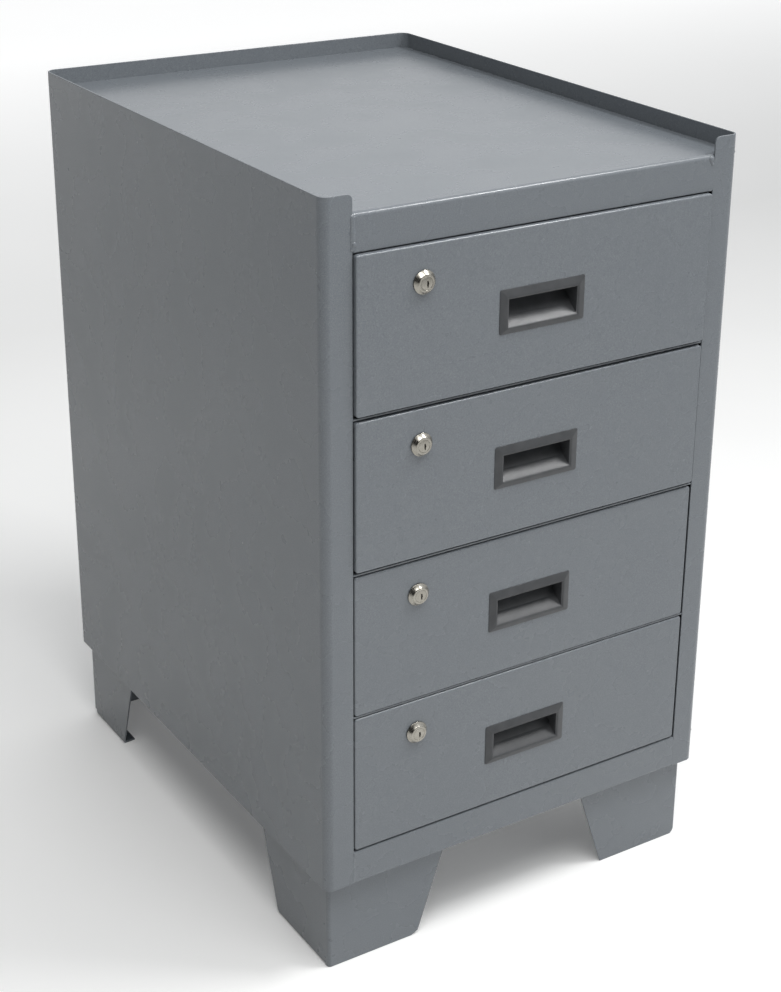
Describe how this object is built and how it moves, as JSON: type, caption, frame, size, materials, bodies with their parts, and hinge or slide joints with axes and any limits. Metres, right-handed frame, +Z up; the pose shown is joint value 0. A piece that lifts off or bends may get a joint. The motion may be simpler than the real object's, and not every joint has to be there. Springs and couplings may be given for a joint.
{
  "type": "filing cabinet",
  "caption": "Painted steel drawer cabinet on folded legs, with a raised-edge tray top, stacked full-extension drawers, recessed pulls and a turning cam lock on each drawer.",
  "frame": {"origin": "middle of the footprint, at floor level under the feet", "axes": "+Z up, +X to the right of a person facing the drawers, drawers open towards -Y"},
  "size_m": [0.469, 0.619, 0.808],
  "materials": {
    "enamel": "satin grey enamel, lightly textured",
    "zinc": "bright zinc plating",
    "lock_plating": "polished nickel plating",
    "pull_plastic": "moulded dark grey plastic"
  },
  "bodies": {
    "cabinet": {"cabinet_shell": "enamel", "top_tray": "enamel", "bottom_pan": "enamel", "divider_rail_1": "enamel", "divider_rail_2": "enamel", "divider_rail_3": "enamel", "leg_front_left": "enamel", "leg_front_right": "enamel", "leg_rear_left": "enamel", "leg_rear_right": "enamel", "drawer_1_slide_outer_left": "zinc", "drawer_1_slide_outer_right": "zinc", "drawer_2_slide_outer_left": "zinc", "drawer_2_slide_outer_right": "zinc", "drawer_3_slide_outer_left": "zinc", "drawer_3_slide_outer_right": "zinc", "drawer_4_slide_outer_left": "zinc", "drawer_4_slide_outer_right": "zinc"},
    "drawer_1": {"drawer_1_front": "enamel", "drawer_1_pan": "enamel", "drawer_1_pull": "pull_plastic", "drawer_1_lock_body": "lock_plating", "drawer_1_slide_inner_left": "zinc", "drawer_1_slide_inner_right": "zinc"},
    "drawer_1_slide_middle": {"drawer_1_slide_middle_left": "zinc", "drawer_1_slide_middle_right": "zinc"},
    "drawer_1_lock": {"drawer_1_lock_plug": "lock_plating", "drawer_1_lock_cam": "zinc"},
    "drawer_2": {"drawer_2_front": "enamel", "drawer_2_pan": "enamel", "drawer_2_pull": "pull_plastic", "drawer_2_lock_body": "lock_plating", "drawer_2_slide_inner_left": "zinc", "drawer_2_slide_inner_right": "zinc"},
    "drawer_2_slide_middle": {"drawer_2_slide_middle_left": "zinc", "drawer_2_slide_middle_right": "zinc"},
    "drawer_2_lock": {"drawer_2_lock_plug": "lock_plating", "drawer_2_lock_cam": "zinc"},
    "drawer_3": {"drawer_3_front": "enamel", "drawer_3_pan": "enamel", "drawer_3_pull": "pull_plastic", "drawer_3_lock_body": "lock_plating", "drawer_3_slide_inner_left": "zinc", "drawer_3_slide_inner_right": "zinc"},
    "drawer_3_slide_middle": {"drawer_3_slide_middle_left": "zinc", "drawer_3_slide_middle_right": "zinc"},
    "drawer_3_lock": {"drawer_3_lock_plug": "lock_plating", "drawer_3_lock_cam": "zinc"},
    "drawer_4": {"drawer_4_front": "enamel", "drawer_4_pan": "enamel", "drawer_4_pull": "pull_plastic", "drawer_4_lock_body": "lock_plating", "drawer_4_slide_inner_left": "zinc", "drawer_4_slide_inner_right": "zinc"},
    "drawer_4_slide_middle": {"drawer_4_slide_middle_left": "zinc", "drawer_4_slide_middle_right": "zinc"},
    "drawer_4_lock": {"drawer_4_lock_plug": "lock_plating", "drawer_4_lock_cam": "zinc"}
  },
  "joints": [
    {"name": "drawer_1_slide", "type": "slide", "parent": "cabinet", "child": "drawer_1", "axis": [0, -1, 0], "range_m": [0, 0.4986]},
    {"name": "drawer_1_slide_middle_travel", "type": "slide", "parent": "cabinet", "child": "drawer_1_slide_middle", "axis": [0, -1, 0], "range_m": [0, 0.2493]},
    {"name": "drawer_1_lock_turn", "type": "hinge", "parent": "drawer_1", "child": "drawer_1_lock", "pos_m": [-0.1321, -0.30415, 0.7183], "axis": [0, -1, 0], "range_deg": [0, 90]},
    {"name": "drawer_2_slide", "type": "slide", "parent": "cabinet", "child": "drawer_2", "axis": [0, -1, 0], "range_m": [0, 0.4986]},
    {"name": "drawer_2_slide_middle_travel", "type": "slide", "parent": "cabinet", "child": "drawer_2_slide_middle", "axis": [0, -1, 0], "range_m": [0, 0.2493]},
    {"name": "drawer_2_lock_turn", "type": "hinge", "parent": "drawer_2", "child": "drawer_2_lock", "pos_m": [-0.1321, -0.30315, 0.5612], "axis": [0, -1, 0], "range_deg": [0, 90]},
    {"name": "drawer_3_slide", "type": "slide", "parent": "cabinet", "child": "drawer_3", "axis": [0, -1, 0], "range_m": [0, 0.4986]},
    {"name": "drawer_3_slide_middle_travel", "type": "slide", "parent": "cabinet", "child": "drawer_3_slide_middle", "axis": [0, -1, 0], "range_m": [0, 0.2493]},
    {"name": "drawer_3_lock_turn", "type": "hinge", "parent": "drawer_3", "child": "drawer_3_lock", "pos_m": [-0.1321, -0.30065, 0.4054], "axis": [0, -1, 0], "range_deg": [0, 90]},
    {"name": "drawer_4_slide", "type": "slide", "parent": "cabinet", "child": "drawer_4", "axis": [0, -1, 0], "range_m": [0, 0.4986]},
    {"name": "drawer_4_slide_middle_travel", "type": "slide", "parent": "cabinet", "child": "drawer_4_slide_middle", "axis": [0, -1, 0], "range_m": [0, 0.2493]},
    {"name": "drawer_4_lock_turn", "type": "hinge", "parent": "drawer_4", "child": "drawer_4_lock", "pos_m": [-0.1321, -0.30065, 0.2534], "axis": [0, -1, 0], "range_deg": [0, 90]}
  ],
  "couplings": [
    {"joint": "drawer_1_slide_middle_travel", "follows": "drawer_1_slide", "ratio": 0.5},
    {"joint": "drawer_2_slide_middle_travel", "follows": "drawer_2_slide", "ratio": 0.5},
    {"joint": "drawer_3_slide_middle_travel", "follows": "drawer_3_slide", "ratio": 0.5},
    {"joint": "drawer_4_slide_middle_travel", "follows": "drawer_4_slide", "ratio": 0.5}
  ]
}
